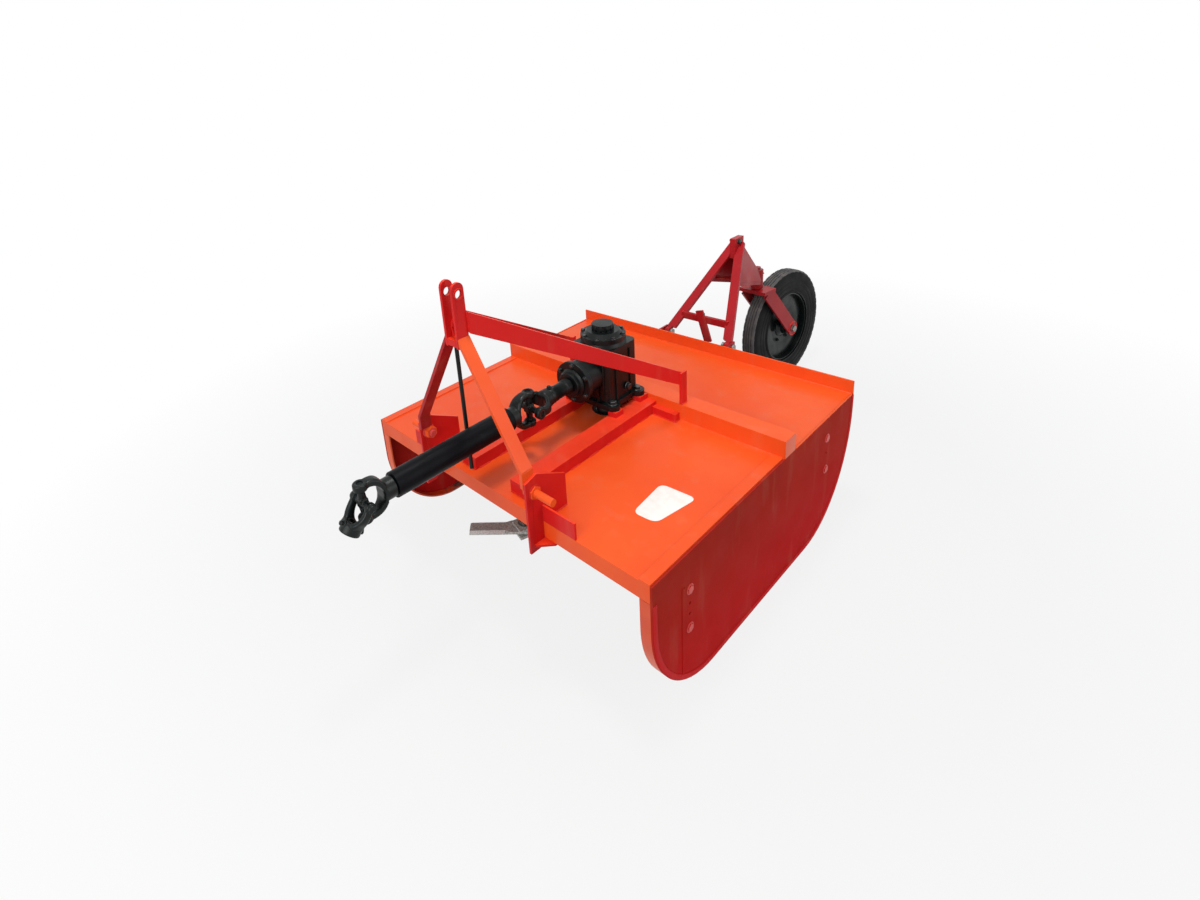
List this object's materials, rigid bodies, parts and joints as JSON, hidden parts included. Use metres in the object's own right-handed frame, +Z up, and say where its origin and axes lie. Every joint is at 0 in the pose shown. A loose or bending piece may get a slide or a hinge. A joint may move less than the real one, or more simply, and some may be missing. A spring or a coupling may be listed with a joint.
{
  "type": "tractor-mounted rotary slasher",
  "caption": "Rear-mounted rotary slasher for a tractor: sheet deck on skid side plates, hitch frame, gearbox with jointed drive shaft, swinging blades and tail wheel.",
  "frame": {"origin": "on the ground under the middle of the machine's overall length and width", "axes": "+X to the side of the right-hand skid, +Y to the rear (tail wheel), -Y towards the tractor, +Z up"},
  "size_m": [1.511, 3.4246, 1.403],
  "materials": {
    "orange": "gloss paint",
    "red": "gloss paint",
    "dark_red": "gloss paint",
    "black_cast": "black paint over casting",
    "steel": "bare",
    "blade_steel": "ground edge",
    "tyre": "matt rubber",
    "guard": "matt"
  },
  "bodies": {
    "deck": {"deck_plate": "orange", "rear_rail": "orange", "cross_beam": "orange", "frame_rail_l": "red", "frame_rail_r": "red", "side_plate_l": "dark_red", "side_plate_r": "dark_red", "skid_runner_l": "orange", "skid_runner_r": "orange", "hitch_bracket_l": "red", "hitch_bracket_r": "red", "lower_pin_l": "red", "lower_pin_r": "red", "mast_leg_l": "red", "mast_leg_r": "red", "mast_ear_l": "red", "mast_ear_r": "red", "mast_head": "red", "brace_l": "red", "brace_r": "red", "shaft_hanger": "black_cast", "gearbox_base": "black_cast", "gearbox_housing": "black_cast", "gearbox_cover": "black_cast", "input_housing": "black_cast", "tail_lug_l": "red", "tail_lug_r": "red", "tail_pin_l": "steel", "tail_pin_r": "steel"},
    "rotor": {"rotor_spindle": "steel", "carrier_upper": "blade_steel", "carrier_lower": "blade_steel", "carrier_spacer": "blade_steel", "blade_bolt_1": "steel", "blade_bolt_2": "steel"},
    "swing_blade_1": {"blade_1": "blade_steel"},
    "swing_blade_2": {"blade_2": "blade_steel"},
    "input": {"input_yoke": "black_cast"},
    "inner_cross": {"cross_inner": "black_cast"},
    "shaft_rear": {"shaft_fork_inner": "black_cast", "shaft_guard": "guard"},
    "shaft_front": {"shaft_fork_outer": "black_cast"},
    "outer_cross": {"cross_outer": "black_cast"},
    "end": {"end_yoke": "black_cast"},
    "tail_frame": {"tail_leg_l": "red", "tail_leg_r": "red", "tail_cross": "red", "tail_strut": "red", "king_housing": "red", "tail_stay_l": "red", "tail_stay_r": "red", "height_strap": "red"},
    "fork": {"fork_crown": "red", "fork_arm_l": "red", "fork_arm_r": "red", "wheel_axle": "steel"},
    "tail_wheel": {"tyre": "tyre", "wheel_disc": "black_cast"}
  },
  "joints": [
    {"name": "rotor_spin", "type": "hinge", "parent": "deck", "child": "rotor", "pos_m": [0, -0.3751, 0.3], "axis": [0, 0, 1], "continuous": true},
    {"name": "blade_1_swing", "type": "hinge", "parent": "rotor", "child": "swing_blade_1", "pos_m": [-0.13343, -0.81428, 0.106], "axis": [0, 0, 1], "continuous": true},
    {"name": "blade_2_swing", "type": "hinge", "parent": "rotor", "child": "swing_blade_2", "pos_m": [0.13343, 0.06408, 0.106], "axis": [0, 0, 1], "continuous": true},
    {"name": "input_spin", "type": "hinge", "parent": "deck", "child": "input", "pos_m": [0, -0.6131, 0.777], "axis": [0, 1, 0], "continuous": true},
    {"name": "inner_joint_lift", "type": "hinge", "parent": "input", "child": "inner_cross", "pos_m": [0, -0.8481, 0.777], "axis": [-1, 0, 0], "range_deg": [0, 18]},
    {"name": "inner_joint_yaw", "type": "hinge", "parent": "inner_cross", "child": "shaft_rear", "pos_m": [0, -0.8481, 0.777], "axis": [0, 0, 1], "range_deg": [0, 12]},
    {"name": "shaft_slide", "type": "slide", "parent": "shaft_rear", "child": "shaft_front", "axis": [0, -1, 0], "range_m": [0, 0.15]},
    {"name": "outer_joint_yaw", "type": "hinge", "parent": "shaft_front", "child": "outer_cross", "pos_m": [0, -1.6151, 0.777], "axis": [0, 0, 1], "range_deg": [-15, 15]},
    {"name": "outer_joint_lift", "type": "hinge", "parent": "outer_cross", "child": "end", "pos_m": [0, -1.6151, 0.777], "axis": [-1, 0, 0], "range_deg": [0, 80]},
    {"name": "tail_lift", "type": "hinge", "parent": "deck", "child": "tail_frame", "pos_m": [-0.04, 0.4369, 0.595], "axis": [1, 0, 0], "range_deg": [-5, 8]},
    {"name": "caster_swivel", "type": "hinge", "parent": "tail_frame", "child": "fork", "pos_m": [-0.04, 1.0769, 0.78], "axis": [0, 0, 1], "continuous": true},
    {"name": "wheel_spin", "type": "hinge", "parent": "fork", "child": "tail_wheel", "pos_m": [-0.01403, 1.35168, 0.358], "axis": [0.9956, -0.0941, 0], "continuous": true}
  ],
  "couplings": [
    {"joint": "input_spin", "follows": "rotor_spin", "ratio": 0.68182}
  ]
}
